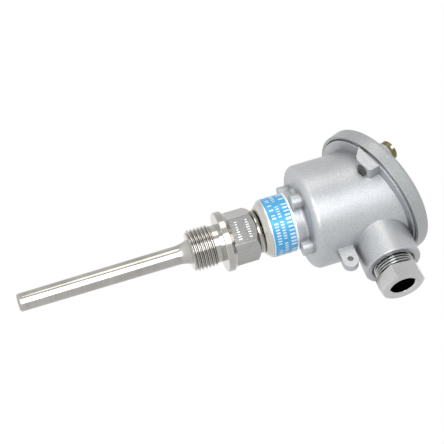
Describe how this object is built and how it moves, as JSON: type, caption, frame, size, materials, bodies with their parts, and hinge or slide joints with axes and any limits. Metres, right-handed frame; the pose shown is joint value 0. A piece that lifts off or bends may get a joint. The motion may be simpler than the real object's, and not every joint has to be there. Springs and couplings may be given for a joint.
{
  "type": "resistance thermometer with connection head",
  "caption": "Screw-in temperature probe: turned thermowell, cast head with slanted screwed lid, cable gland and a sprung measuring insert with ceramic terminals.",
  "frame": {"origin": "centre of the collar's sealing face, where the process thread stops", "axes": "+Z along the probe from the tip to the head, +X out of the cable entry, the lid slants up towards +X"},
  "size_m": [0.0886, 0.0694, 0.2001],
  "materials": {
    "stainless": "turned and polished stainless steel",
    "cast_aluminium": "satin die-cast aluminium with a fine grain",
    "printed_band": "blue printed foil with bare silver borders",
    "rubber": "matt black rubber",
    "brass_screw": "passivated yellow, dulled",
    "zinc_steel": "zinc plated",
    "nickel_brass": "bright nickel plate",
    "mineral_filling": "packed white powder",
    "ceramic": "unglazed ivory ceramic",
    "lead_metal": "drawn wire",
    "terminal_brass": "machined brass",
    "spring_steel": "drawn spring wire"
  },
  "bodies": {
    "probe": {"thermowell": "stainless", "head_body": "cast_aluminium", "neck_band": "printed_band", "gland_seal": "rubber", "insert_screws": "zinc_steel", "insert_springs": "spring_steel", "spring_washers": "zinc_steel"},
    "lid": {"lid": "cast_aluminium", "lid_gasket": "rubber"},
    "lid_washer_front": {"lid_washer_front": "zinc_steel"},
    "lid_screw_front": {"lid_screw_front": "brass_screw"},
    "lid_washer_back": {"lid_washer_back": "zinc_steel"},
    "lid_screw_back": {"lid_screw_back": "brass_screw"},
    "gland_washer": {"gland_washer": "nickel_brass"},
    "gland_screw": {"gland_screw": "nickel_brass"},
    "insert": {"sheath_tube": "stainless", "sheath_filling": "mineral_filling", "sensing_element": "ceramic", "lead_wires": "lead_metal", "insert_flange": "stainless", "terminal_block": "ceramic", "terminal_bars": "terminal_brass", "lead_eyelets": "zinc_steel", "clamp_plates": "zinc_steel"},
    "terminal_screw_1": {"terminal_screw_1": "terminal_brass"},
    "terminal_screw_2": {"terminal_screw_2": "terminal_brass"},
    "terminal_screw_3": {"terminal_screw_3": "terminal_brass"},
    "terminal_screw_4": {"terminal_screw_4": "terminal_brass"}
  },
  "joints": [
    {"name": "lid_lift", "type": "slide", "parent": "probe", "child": "lid", "axis": [-0.3665, 0, 0.9304], "range_m": [0, 0.04]},
    {"name": "lid_washer_front_rise", "type": "slide", "parent": "lid", "child": "lid_washer_front", "axis": [-0.3665, 0, 0.9304], "range_m": [0, 0.01]},
    {"name": "lid_screw_front_turn", "type": "hinge", "parent": "lid_washer_front", "child": "lid_screw_front", "pos_m": [-0.0013, -0.0286, 0.07879], "axis": [-0.3665, 0, 0.9304], "range_deg": [0, 3600]},
    {"name": "lid_washer_back_rise", "type": "slide", "parent": "lid", "child": "lid_washer_back", "axis": [-0.3665, 0, 0.9304], "range_m": [0, 0.01]},
    {"name": "lid_screw_back_turn", "type": "hinge", "parent": "lid_washer_back", "child": "lid_screw_back", "pos_m": [-0.0013, 0.0286, 0.07879], "axis": [-0.3665, 0, 0.9304], "range_deg": [0, 3600]},
    {"name": "gland_travel", "type": "slide", "parent": "probe", "child": "gland_washer", "axis": [1, 0, 0], "range_m": [-0.0015, 0.006]},
    {"name": "gland_screw_turn", "type": "hinge", "parent": "gland_washer", "child": "gland_screw", "pos_m": [0.045, 0, 0.0748], "axis": [1, 0, 0], "range_deg": [-360, 1440]},
    {"name": "insert_travel", "type": "slide", "parent": "probe", "child": "insert", "axis": [0, 0, 1], "range_m": [0, 0.006], "stiffness_N_per_m": 5000, "springref_m": -0.003, "deforming": ["insert_springs"]},
    {"name": "terminal_screw_1_turn", "type": "hinge", "parent": "insert", "child": "terminal_screw_1", "pos_m": [0.012, 0.0055, 0.062], "axis": [0, 0, 1], "range_deg": [0, 1080]},
    {"name": "terminal_screw_2_turn", "type": "hinge", "parent": "insert", "child": "terminal_screw_2", "pos_m": [-0.012, 0.0055, 0.062], "axis": [0, 0, 1], "range_deg": [0, 1080]},
    {"name": "terminal_screw_3_turn", "type": "hinge", "parent": "insert", "child": "terminal_screw_3", "pos_m": [-0.012, -0.0055, 0.062], "axis": [0, 0, 1], "range_deg": [0, 1080]},
    {"name": "terminal_screw_4_turn", "type": "hinge", "parent": "insert", "child": "terminal_screw_4", "pos_m": [0.012, -0.0055, 0.062], "axis": [0, 0, 1], "range_deg": [0, 1080]}
  ],
  "couplings": [
    {"joint": "lid_screw_front_turn", "follows": "lid_washer_front_rise", "rad_per_m": 6283.2},
    {"joint": "lid_screw_back_turn", "follows": "lid_washer_back_rise", "rad_per_m": 6283.2},
    {"joint": "gland_screw_turn", "follows": "gland_travel", "rad_per_m": 4188.8}
  ]
}
